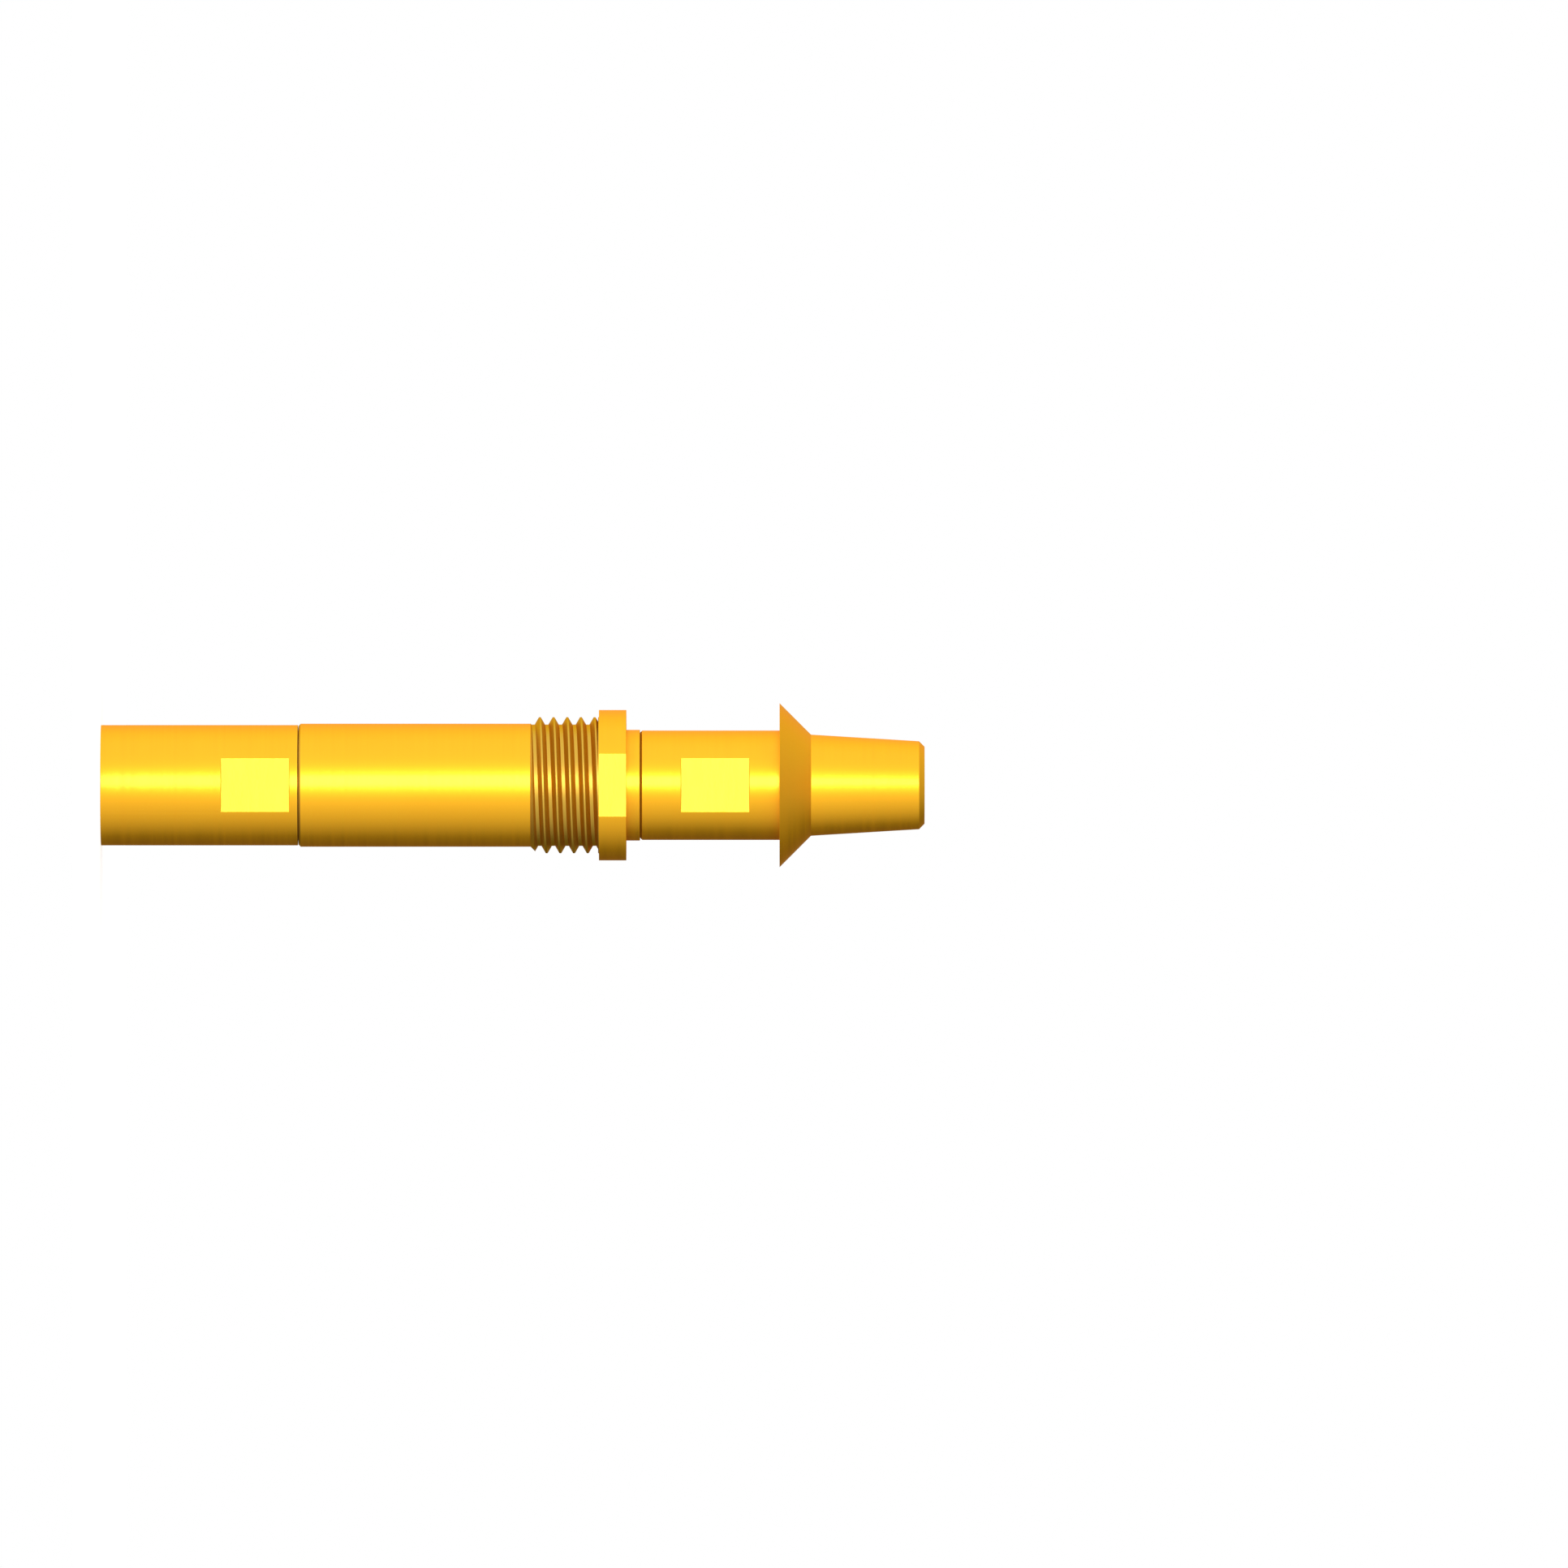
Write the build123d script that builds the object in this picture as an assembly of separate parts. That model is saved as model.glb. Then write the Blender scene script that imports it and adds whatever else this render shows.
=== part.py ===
from build123d import *
from math import cos, exp, pi, radians, sin, sqrt, tan
import os

# Coaxial radio-frequency test probe, screwed into a fixture plate by its fine thread.
# +Z runs along the axis, from the cable end up to the contact nose.
# The origin is on the axis, at the collar's rear face, which seats on the plate.
# All sizes are in millimetres.

# Sizes that the drawing gives
overall_length = 30.1
projection = 11.9            # seat face to nose tip
thread_d = 5.0               # M5 x 0.5, right hand
thread_pitch = 0.5
thread_angle = 60.0

# Radial steps from the thread, which give the drawing's other diameters
barrel_step = 0.25           # barrel 4.5 across
collar_step = 0.25           # collar 5.5 across
collar_flat_depth = 0.25     # spanner size 5 on the collar
head_step = 0.025            # sleeve to head: head 4 across

# Sizes scaled from the drawing
thread_length = 2.5
thread_end = 0.03            # ring left at full diameter between the thread and the seat face
first_groove = 0.16          # from the seat face to the first groove, on the +X side
collar_thickness = 1.0
head_flat_depth = 0.26       # spanner size 3.5
head_flats_setback = 1.5
connector_step = 0.05        # barrel to cable connector, radial
connector_length = 7.2
connector_flat_depth = 0.23  # spanner size 4
connector_flats_setback = 0.3
flats_length = 2.5           # on the head and on the connector
sleeve_lip = 0.5             # shows between the collar and the head
flange_clearance = 0.6       # left between the flange and the collar at full travel
flange_d = 6.0
nose_taper = 0.24            # radial, from the tip to the flange's cone
nose_chamfer = 0.2
edge_break = 0.08            # chamfer at the joints between turned pieces

# Travel of the moving pieces
plunger_travel = 5.0
pin_travel = 1.0

# Clearances
thread_allowance = 0.02      # off the thread's nominal diameter
slide_gap = 0.025            # radial, between pieces that slide
seat_gap = 0.01              # radial, between pieces that are pressed or screwed together
stop_gap = 0.02              # axial, at the two stops
wire_gap = 0.05              # radial, between a spring and the bore round it
shank_gap = 0.1              # radial, between the return spring and the shank in it
closed_coil_gap = 0.01       # between a closed end coil and the next one

# Inside sizes: the 50 ohm line sets the diameters of its inner conductor
line_impedance = 50.0
vacuum_factor = 59.96        # impedance of an air line, for each unit of ln(D / d)
ptfe_permittivity = 2.05
barrel_wall = 0.2
shank_wall = 0.5             # round the line's bore
bush_length = 1.0
bearing_step = 0.4           # of the bearing, behind the bead's seat
spigot_wall = 0.475          # of the sleeve, round the head's thread
spigot_length = 2.4
bead_length = 1.6
shank_thread_length = 2.2    # shank screwed into the cable connector
rear_insulator_ledge = 0.3   # from the socket's bore to the insulator's seat
rear_insulator_step = 0.2
rear_insulator_nose_length = 0.4
rear_insulator_length = 1.4
socket_wall = 0.4            # round the bore that takes the cable plug
detent_groove_width = 0.5
detent_groove_depth = 0.12
detent_groove_setback = 1.1    # from the connector's mouth
mouth_chamfer = 0.15
front_insulator_length = 2.2
front_insulator_step = 0.1   # ledge that it is pressed against
nose_wall = 0.41             # at the tip
nose_mouth_chamfer = 0.06

# Inner conductor
pin_recess = 0.3             # the pin's tip behind the nose's face
piston_length = 1.4
piston_step = 0.1028         # piston to pin: pin 0.5 across
pin_barrel_wall = 0.1
pin_barrel_seat = 0.8        # depth of the pin barrel in the front insulator
pin_barrel_lip = 0.2         # rolled-in mouth that keeps the pin
pin_spring_room = 3.7
pin_barrel_floor = 0.6
stub_d = 0.45
stub_length = 1.0
contact_front_hole_depth = 0.9
contact_rear_hole_depth = 1.0
contact_slot_width = 0.12
contact_slot_depth = 0.8
contact_front_reach = 0.8    # in front of the rear insulator

# Springs
return_wire_d = 0.3
return_coils = 5             # working coils, without the closed one at each end
pin_wire_d = 0.1
pin_coils = 5
wire_sides = 6               # the real wire is round
chords_per_turn = 16

# Diameters, from the thread inwards
barrel_d = thread_d - 2 * barrel_step
collar_d = thread_d + 2 * collar_step
collar_flats = collar_d - 2 * collar_flat_depth
barrel_bore_d = barrel_d - 2 * barrel_wall
sleeve_d = barrel_bore_d - 2 * slide_gap
head_d = sleeve_d - 2 * head_step
head_flats = head_d - 2 * head_flat_depth
return_spring_d = barrel_bore_d - 2 * wire_gap - return_wire_d
shank_d = return_spring_d - return_wire_d - 2 * shank_gap
bush_bore_d = shank_d + 2 * slide_gap
line_bore_d = shank_d - 2 * shank_wall
spigot_d = sleeve_d - 2 * spigot_wall
connector_d = barrel_d - 2 * connector_step
connector_flats = connector_d - 2 * connector_flat_depth
socket_d = connector_d - 2 * socket_wall
rear_insulator_d = socket_d - 2 * rear_insulator_ledge
rear_insulator_nose_d = rear_insulator_d - 2 * rear_insulator_step
nose_bore_d = line_bore_d + 2 * front_insulator_step
nose_tip_d = nose_bore_d + 2 * nose_wall
nose_base_d = nose_tip_d + 2 * nose_taper

# Diameters of the inner conductor, from the line's bore and its dielectric
pin_barrel_d = line_bore_d / exp(line_impedance / vacuum_factor)
rod_d = line_bore_d / exp(line_impedance * sqrt(ptfe_permittivity) / vacuum_factor)
pin_bore_d = pin_barrel_d - 2 * pin_barrel_wall
piston_d = pin_bore_d - 2 * slide_gap
pin_d = piston_d - 2 * piston_step
pin_spring_d = pin_bore_d - 2 * wire_gap - pin_wire_d

# The basic metric thread form: five eighths of the sharp V's height, a quarter pitch at the root
flank_slope = tan(radians(thread_angle / 2))
thread_crest_d = thread_d - thread_allowance
thread_depth = 5 / 8 * thread_pitch / 2 / flank_slope
thread_root_d = thread_crest_d - 2 * thread_depth
root_flat = thread_pitch / 4

# Levels along the axis
nose_tip = projection
collar_front = collar_thickness
head_rear = collar_front + sleeve_lip
flange_rear = collar_front + plunger_travel + flange_clearance
nose_base = flange_rear + (flange_d - nose_base_d) / 2
cable_end = projection - overall_length
connector_front = cable_end + connector_length
barrel_rear = connector_front + stop_gap
thread_start = -thread_length
bush_front = barrel_rear + bush_length
bead_front = head_rear - spigot_length
bead_rear = bead_front - bead_length
bearing_rear = bead_rear - bearing_step
shank_rear = connector_front - shank_thread_length
socket_floor = shank_rear - rear_insulator_length
insulator_face = nose_tip - pin_recess - pin_travel
insulator_rear = insulator_face - front_insulator_length
pin_tip = nose_tip - pin_recess
pin_barrel_front = insulator_rear + pin_barrel_seat
piston_front = pin_barrel_front - pin_barrel_lip - stop_gap
piston_rear = piston_front - piston_length
ball_rear = piston_rear - piston_d
pin_bore_floor = ball_rear - pin_spring_room
pin_barrel_rear = pin_bore_floor - pin_barrel_floor
contact_front = shank_rear + contact_front_reach


def turned(*outline):
    """A piece turned on the probe's axis, from the corners (radius, level) of its half section."""
    section = make_face(Polyline(*outline, close=True))
    return revolve(Plane.XZ * section, Axis.Z)


def disc(diameter, low, high):
    """A plain round piece between two levels."""
    return Pos(0, 0, low) * Cylinder(
        diameter / 2, high - low, align=(Align.CENTER, Align.CENTER, Align.MIN)
    )


def spanner_flats(diameter, across, low, high):
    """What is milled away to leave a pair of flats, facing -Y and +Y, on a round piece."""
    block = Pos(0, (across + diameter) / 2, (low + high) / 2) * Box(diameter, diameter, high - low)
    return block + mirror(block, Plane.XZ)


def coil_spring(mean_d, wire_d, coils, low, high):
    """A compression spring between two levels, its end coils closed and ground flat."""
    turns = coils + 2
    ground_off = wire_d / 4
    wire_start = low - ground_off
    end_rise = wire_d + closed_coil_gap
    coil_rise = (high - low + 2 * ground_off - 2 * end_rise) / coils
    points = []
    for count in range(turns * chords_per_turn + 1):
        turn = count / chords_per_turn
        closed = min(turn, 1) + max(turn - coils - 1, 0)
        level = wire_start + closed * end_rise + (turn - closed) * coil_rise
        across = mean_d / 2 * cos(2 * pi * turn)
        along = mean_d / 2 * sin(2 * pi * turn)
        points.append((across, along, level))
    run = Polyline(*points)
    section = Plane(run @ 0, z_dir=run % 0) * RegularPolygon(wire_d / 2, wire_sides)
    wire = sweep(section, run, transition=Transition.RIGHT)
    return wire & disc(2 * mean_d, low, high)


def thread_groove():
    """The thread's V groove, from below the lead-in to above the seat face."""
    low = -first_groove
    while low > thread_start - thread_pitch:
        low -= thread_pitch
    run = Helix(thread_pitch, thread_pitch - low, thread_root_d / 2, center=(0, 0, low))
    root_r = thread_root_d / 2
    outside_r = thread_crest_d / 2 + thread_depth
    root_half = root_flat / 2
    outside_half = root_half + (outside_r - root_r) * flank_slope
    section = Plane.XZ * make_face(Polyline(
        (root_r, low - root_half),
        (root_r, low + root_half),
        (outside_r, low + outside_half),
        (outside_r, low - outside_half),
        close=True,
    ))
    return sweep(section, run, is_frenet=True)


def threaded_barrel():
    """Fixed housing: a thin tube with the mounting thread and the spanner collar."""
    bore_r = barrel_bore_d / 2
    barrel_r = barrel_d / 2
    crest_r = thread_crest_d / 2
    collar_r = collar_d / 2
    tube = turned(
        (bore_r, barrel_rear),
        (barrel_r - edge_break, barrel_rear),
        (barrel_r, barrel_rear + edge_break),
        (barrel_r, thread_start),
        (bore_r, thread_start),
    )
    thread = turned(
        (bore_r, thread_start),
        (barrel_r, thread_start),
        (crest_r, thread_start + crest_r - barrel_r),
        (crest_r, -thread_end),
        (bore_r, -thread_end),
    )
    collar = turned(
        (bore_r, -thread_end),
        (crest_r, -thread_end),
        (crest_r, 0),
        (collar_r, 0),
        (collar_r, collar_front),
        (bore_r + edge_break, collar_front),
        (bore_r, collar_front - edge_break),
    )
    flats = spanner_flats(collar_d, collar_flats, 0, collar_front)
    return tube + (thread - thread_groove()) + (collar - flats)


def guide_bush():
    """Ring pressed into the barrel's rear end: it guides the shank and seats the spring."""
    outer_d = barrel_bore_d - 2 * seat_gap
    return disc(outer_d, barrel_rear, bush_front) - disc(bush_bore_d, barrel_rear, bush_front)


def return_spring():
    """Pushes the sleeve forward, off the guide bush."""
    return coil_spring(return_spring_d, return_wire_d, return_coils, bush_front, bearing_rear)


def plunger_sleeve():
    """Sliding outer conductor: a bearing that runs in the barrel and a shank in the spring."""
    line_r = line_bore_d / 2
    return turned(
        (line_r, shank_rear),
        (shank_d / 2, shank_rear),
        (shank_d / 2, bearing_rear),
        (sleeve_d / 2, bearing_rear),
        (sleeve_d / 2, head_rear),
        (spigot_d / 2, head_rear),
        (spigot_d / 2, bead_rear),
        (line_r, bead_rear),
    )


def contact_head():
    """Front of the outer conductor: a spanner sleeve, a centring cone and a tapered nose."""
    spigot_r = spigot_d / 2 - seat_gap
    line_r = line_bore_d / 2
    nose_bore_r = nose_bore_d / 2
    body = turned(
        (line_r, bead_front),
        (spigot_r, bead_front),
        (spigot_r, head_rear),
        (head_d / 2 - edge_break, head_rear),
        (head_d / 2, head_rear + edge_break),
        (head_d / 2, flange_rear),
        (flange_d / 2, flange_rear),
        (nose_base_d / 2, nose_base),
        (nose_tip_d / 2, nose_tip - nose_chamfer),
        (nose_tip_d / 2 - nose_chamfer, nose_tip),
        (nose_bore_r + nose_mouth_chamfer, nose_tip),
        (nose_bore_r, nose_tip - nose_mouth_chamfer),
        (nose_bore_r, insulator_rear),
        (line_r, insulator_rear),
    )
    flats_low = head_rear + head_flats_setback
    return body - spanner_flats(head_d, head_flats, flats_low, flats_low + flats_length)


def cable_connector():
    """Rear shell, screwed onto the shank: its open end is the socket for the cable's plug."""
    outer_r = connector_d / 2
    socket_r = socket_d / 2
    seat_r = rear_insulator_d / 2 + seat_gap
    ledge_r = rear_insulator_nose_d / 2 + seat_gap
    groove = cable_end + detent_groove_setback
    body = turned(
        (socket_r + mouth_chamfer, cable_end),
        (outer_r, cable_end),
        (outer_r, connector_front),
        (shank_d / 2 + seat_gap, connector_front),
        (shank_d / 2 + seat_gap, shank_rear),
        (seat_r, shank_rear),
        (seat_r, socket_floor + rear_insulator_nose_length),
        (ledge_r, socket_floor + rear_insulator_nose_length),
        (ledge_r, socket_floor),
        (socket_r, socket_floor),
        (socket_r, groove + detent_groove_width / 2),
        (socket_r + detent_groove_depth, groove),
        (socket_r, groove - detent_groove_width / 2),
        (socket_r, cable_end + mouth_chamfer),
    )
    flats_high = connector_front - connector_flats_setback
    return body - spanner_flats(connector_d, connector_flats, flats_high - flats_length, flats_high)


def front_insulator():
    """PTFE bush in the nose: it centres the pin barrel and lets the pin through."""
    barrel_r = pin_barrel_d / 2 + seat_gap
    pin_r = pin_d / 2 + slide_gap
    outer_r = nose_bore_d / 2 - seat_gap
    return turned(
        (barrel_r, insulator_rear),
        (outer_r, insulator_rear),
        (outer_r, insulator_face),
        (pin_r, insulator_face),
        (pin_r, pin_barrel_front),
        (barrel_r, pin_barrel_front),
    )


def support_bead():
    """PTFE bead clamped between the head's spigot and the sleeve's step."""
    outer_d = spigot_d - 2 * seat_gap
    hole_d = pin_barrel_d + 2 * seat_gap
    return disc(outer_d, bead_rear, bead_front) - disc(hole_d, bead_rear, bead_front)


def dielectric_tube():
    """PTFE tube that fills the sleeve's bore round the rod."""
    outer_d = line_bore_d - 2 * seat_gap
    hole_d = rod_d + 2 * seat_gap
    return disc(outer_d, contact_front, bead_rear) - disc(hole_d, contact_front, bead_rear)


def rear_insulator():
    """Stepped PTFE bush, clamped in the connector by the shank's end."""
    contact_r = pin_barrel_d / 2 + seat_gap
    outer_r = rear_insulator_d / 2
    nose_r = rear_insulator_nose_d / 2
    step = socket_floor + rear_insulator_nose_length
    return turned(
        (contact_r, socket_floor),
        (nose_r, socket_floor),
        (nose_r, step),
        (outer_r, step),
        (outer_r, shank_rear),
        (contact_r, shank_rear),
    )


def centre_rod():
    """Inner conductor in the dielectric, with a socket head for the pin barrel's stub."""
    head_r = pin_barrel_d / 2
    stub_r = stub_d / 2 + seat_gap
    rod_rear = contact_front - contact_front_hole_depth
    hole_floor = pin_barrel_rear - stub_length - stop_gap
    return turned(
        (0, rod_rear),
        (rod_d / 2, rod_rear),
        (rod_d / 2, bead_rear),
        (head_r, bead_rear),
        (head_r, pin_barrel_rear),
        (stub_r, pin_barrel_rear),
        (stub_r, hole_floor),
        (0, hole_floor),
    )


def socket_contact():
    """Centre contact of the cable socket, with two slots that let its fingers spring."""
    outer_r = pin_barrel_d / 2
    front_hole_r = rod_d / 2 + seat_gap
    rear_hole_r = pin_d / 2
    rear_hole_floor = socket_floor + contact_rear_hole_depth
    front_hole_floor = contact_front - contact_front_hole_depth
    body = turned(
        (0, rear_hole_floor),
        (rear_hole_r, rear_hole_floor),
        (rear_hole_r, socket_floor),
        (outer_r, socket_floor),
        (outer_r, contact_front),
        (front_hole_r, contact_front),
        (front_hole_r, front_hole_floor),
        (0, front_hole_floor),
    )
    slot = Pos(0, 0, socket_floor + contact_slot_depth / 2) * Box(
        pin_barrel_d, contact_slot_width, contact_slot_depth
    )
    return body - slot - Rot(0, 0, 90) * slot


def pin_barrel():
    """Tube of the sprung centre contact, rolled in at its mouth and closed at its rear."""
    outer_r = pin_barrel_d / 2
    bore_r = pin_bore_d / 2
    mouth_r = pin_d / 2 + slide_gap
    stub_rear = pin_barrel_rear - stub_length
    return turned(
        (0, stub_rear),
        (stub_d / 2, stub_rear),
        (stub_d / 2, pin_barrel_rear),
        (outer_r, pin_barrel_rear),
        (outer_r, pin_barrel_front - pin_barrel_lip),
        (outer_r - pin_barrel_wall, pin_barrel_front),
        (mouth_r, pin_barrel_front),
        (mouth_r, pin_barrel_front - pin_barrel_lip),
        (bore_r, pin_barrel_front - pin_barrel_lip),
        (bore_r, pin_bore_floor),
        (0, pin_bore_floor),
    )


def pin_spring():
    """Pushes the ball and the pin forward, off the pin barrel's floor."""
    return coil_spring(pin_spring_d, pin_wire_d, pin_coils, pin_bore_floor, ball_rear)


def contact_pin():
    """Centre contact pin with a domed tip, and the piston that keeps it in its barrel."""
    pin_r = pin_d / 2
    shaft = turned(
        (0, piston_rear),
        (piston_d / 2, piston_rear),
        (piston_d / 2, piston_front),
        (pin_r, piston_front),
        (pin_r, pin_tip - pin_r),
        (0, pin_tip - pin_r),
    )
    return shaft + Pos(0, 0, pin_tip - pin_r) * Sphere(pin_r)


def bias_ball():
    """Ball between the spring and the piston, which presses the pin against its barrel."""
    return Pos(0, 0, ball_rear + piston_d / 2) * Sphere(piston_d / 2 - seat_gap)


pieces = {
    "threaded_barrel": threaded_barrel,
    "guide_bush": guide_bush,
    "return_spring": return_spring,
    "plunger_sleeve": plunger_sleeve,
    "contact_head": contact_head,
    "cable_connector": cable_connector,
    "front_insulator": front_insulator,
    "support_bead": support_bead,
    "dielectric_tube": dielectric_tube,
    "rear_insulator": rear_insulator,
    "centre_rod": centre_rod,
    "socket_contact": socket_contact,
    "pin_barrel": pin_barrel,
    "pin_spring": pin_spring,
    "contact_pin": contact_pin,
    "bias_ball": bias_ball,
}

os.makedirs("parts", exist_ok=True)
for name, make in pieces.items():
    export_step(make(), f"parts/{name}.step")
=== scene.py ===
import math

import bmesh
import bpy
from mathutils import Matrix, Vector


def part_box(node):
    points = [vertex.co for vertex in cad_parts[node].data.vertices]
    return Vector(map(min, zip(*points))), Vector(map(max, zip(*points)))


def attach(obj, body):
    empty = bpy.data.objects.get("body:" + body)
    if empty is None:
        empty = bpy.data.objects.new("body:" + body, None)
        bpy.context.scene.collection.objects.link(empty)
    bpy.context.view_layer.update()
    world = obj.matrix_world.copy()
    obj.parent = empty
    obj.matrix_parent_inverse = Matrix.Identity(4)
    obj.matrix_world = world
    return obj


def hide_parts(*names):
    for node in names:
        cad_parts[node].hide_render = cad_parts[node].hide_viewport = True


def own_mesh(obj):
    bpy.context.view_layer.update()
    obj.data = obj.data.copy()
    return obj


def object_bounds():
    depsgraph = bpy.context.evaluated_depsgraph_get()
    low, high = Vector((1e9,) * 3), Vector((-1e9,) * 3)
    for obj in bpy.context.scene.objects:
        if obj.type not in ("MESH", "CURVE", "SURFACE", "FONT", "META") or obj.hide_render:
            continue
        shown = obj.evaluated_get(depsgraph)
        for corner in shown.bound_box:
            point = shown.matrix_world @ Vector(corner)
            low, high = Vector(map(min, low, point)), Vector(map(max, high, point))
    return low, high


# Coaxial test probe, standing on its cable end. +Z runs along its axis, towards the contact nose.
# Pieces are modelled in millimetres and scaled to metres when they are finished.

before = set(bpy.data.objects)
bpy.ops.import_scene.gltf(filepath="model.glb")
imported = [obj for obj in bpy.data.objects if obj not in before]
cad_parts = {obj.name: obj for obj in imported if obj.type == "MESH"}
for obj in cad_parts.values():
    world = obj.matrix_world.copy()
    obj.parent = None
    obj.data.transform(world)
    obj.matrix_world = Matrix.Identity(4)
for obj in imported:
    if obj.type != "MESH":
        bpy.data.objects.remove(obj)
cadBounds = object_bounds()
mm = 0.001
print("frame loaded:", len(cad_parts), "nodes")


# Levels that the frame gives

def span(node):  # lowest and highest level of a CAD node, in mm
    low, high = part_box(node)
    return low.z / mm, high.z / mm


barrelRear, collarFront = span("threaded_barrel")
cableEnd, connectorFront = span("cable_connector")
bushRear, bushFront = span("guide_bush")
shankRear, beadSeat = span("plunger_sleeve")[0], span("support_bead")[0]
springRear, springFront = span("return_spring")
lipFront = span("plunger_sleeve")[1]
headRear, noseTip = span("contact_head")
insulatorRear, insulatorFace = span("front_insulator")
socketFloor, rearInsulatorFront = span("rear_insulator")
pistonRear, pinTip = span("contact_pin")
pinSpringRear, pinSpringFront = span("pin_spring")
contactFront = span("socket_contact")[1]


# Mesh helpers

weld = 1e-5  # mm, corners nearer than this become one
nearby = 0.01  # mm, how far off a level a face still belongs to it
squareOn = 0.9999  # how straight the milled flats face their side


def addObject(name, data):
    obj = bpy.data.objects.new(name, data)
    bpy.context.scene.collection.objects.link(obj)
    return obj


def columnAngles(columns, flatHalf):  # round the axis, with a column on each edge of the flats
    if not flatHalf:
        return [2 * math.pi * i / columns for i in range(columns)]
    fewest = 4
    onFlat = max(fewest, round(columns * flatHalf / math.pi))
    between = max(2 * fewest, columns // 2 - onFlat)
    angles = []
    for side in (0.5 * math.pi, 1.5 * math.pi):
        for i in range(onFlat):
            angles.append(side - flatHalf + 2 * flatHalf * i / onFlat)
        for i in range(between):
            angles.append(side + flatHalf + (math.pi - 2 * flatHalf) * i / between)
    return angles


def turn(name, outline, columns=256, across=None):
    # outline: corners (radius, level), or (radius, level, True) where the flats cut the round
    flatHalf = 0
    if across:
        fullRadius = max(corner[0] for corner in outline if len(corner) > 2)
        flatHalf = math.acos(across / 2 / fullRadius)
    bm = bmesh.new()
    rings = []
    for angle in columnAngles(columns, flatHalf):
        column = []
        for corner in outline:
            radius = corner[0]
            if len(corner) > 2:
                facing = abs(math.sin(angle))
                if facing > 0:
                    radius = min(radius, across / 2 / facing)
            column.append(bm.verts.new((radius * math.cos(angle), radius * math.sin(angle), corner[1])))
        rings.append(column)
    count = len(outline)
    for i, column in enumerate(rings):
        following = rings[(i + 1) % len(rings)]
        for k in range(count):
            n = (k + 1) % count
            bm.faces.new((column[k], following[k], following[n], column[n]))
    bmesh.ops.remove_doubles(bm, verts=bm.verts, dist=weld)
    bmesh.ops.dissolve_degenerate(bm, edges=bm.edges, dist=weld)
    bmesh.ops.recalc_face_normals(bm, faces=bm.faces)
    for face in bm.faces:
        face.smooth = True
    mesh = bpy.data.meshes.new(name)
    bm.to_mesh(mesh)
    bm.free()
    return addObject(name, mesh)


def bake(obj):  # modifiers into a plain mesh
    bpy.context.view_layer.update()
    depsgraph = bpy.context.evaluated_depsgraph_get()
    mesh = bpy.data.meshes.new_from_object(obj.evaluated_get(depsgraph), depsgraph=depsgraph)
    mesh.name = obj.name
    old = obj.data
    obj.modifiers.clear()
    obj.data = mesh
    if old.users == 0:
        bpy.data.meshes.remove(old)


def mergeSlivers(obj):  # where edge rounds meet at the ends of the flats
    bm = bmesh.new()
    bm.from_mesh(obj.data)
    bmesh.ops.remove_doubles(bm, verts=bm.verts, dist=2 * weld)
    bmesh.ops.dissolve_degenerate(bm, edges=bm.edges, dist=2 * weld)
    bm.to_mesh(obj.data)
    bm.free()


def softenEdges(obj, width, segments=2, angle=18):
    bevel = obj.modifiers.new("edgeBreak", "BEVEL")
    bevel.limit_method = "ANGLE"
    bevel.angle_limit = math.radians(angle)
    bevel.width = width
    bevel.segments = segments
    bevel.use_clamp_overlap = True
    bevel.miter_outer = "MITER_ARC"
    bake(obj)
    mergeSlivers(obj)


def combine(obj, other, operation):
    boolean = obj.modifiers.new(operation.lower(), "BOOLEAN")
    boolean.operation = operation
    boolean.solver = "MANIFOLD"
    boolean.object = other


def sharpen(obj, angle=25):
    bm = bmesh.new()
    bm.from_mesh(obj.data)
    for edge in bm.edges:
        edge.smooth = not (len(edge.link_faces) == 2 and edge.calc_face_angle(0) > math.radians(angle))
    for face in bm.faces:
        face.smooth = True
    bm.to_mesh(obj.data)
    bm.free()


def weighNormals(obj):
    weigh = obj.modifiers.new("normals", "WEIGHTED_NORMAL")
    weigh.mode = "FACE_AREA_WITH_ANGLE"
    weigh.weight = 60
    weigh.keep_sharp = True


def discard(*helpers):
    for helper in helpers:
        mesh = helper.data
        bpy.data.objects.remove(helper)
        bpy.data.meshes.remove(mesh)


def finishPiece(obj, materials, body, slot, *nodes):
    bake(obj)
    obj.data.transform(Matrix.Scale(mm, 4))
    obj.data.materials.clear()
    for material in materials:
        obj.data.materials.append(material)
    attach(obj, body)
    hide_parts(*nodes)
    print("made", obj.name, len(obj.data.polygons), "faces")


def box(name, size, centre):
    bm = bmesh.new()
    bmesh.ops.create_cube(bm, size=1)
    bmesh.ops.scale(bm, vec=size, verts=bm.verts)
    bmesh.ops.translate(bm, vec=centre, verts=bm.verts)
    mesh = bpy.data.meshes.new(name)
    bm.to_mesh(mesh)
    bm.free()
    return addObject(name, mesh)


def markFlats(obj, low, high):  # second material on the milled flats
    for face in obj.data.polygons:
        if abs(face.normal.y) > squareOn and low * mm < face.center.z < high * mm:
            face.material_index = 1


# Another material on what lies between two levels and outside a radius
def markRing(obj, index, low, high, inside):
    for face in obj.data.polygons:
        spot = face.center / mm
        if low < spot.z < high and spot.xy.length > inside:
            face.material_index = index


# Materials

def node(tree, kind, inputs=None, **settings):
    made = tree.nodes.new(kind)
    for key, value in settings.items():
        setattr(made, key, value)
    for key, value in (inputs or {}).items():
        if isinstance(value, bpy.types.NodeSocket):
            tree.links.new(value, made.inputs[key])
        else:
            made.inputs[key].default_value = value
    return made


def emptyTree(owner):
    owner.use_nodes = True
    owner.node_tree.nodes.clear()
    return owner.node_tree


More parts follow.
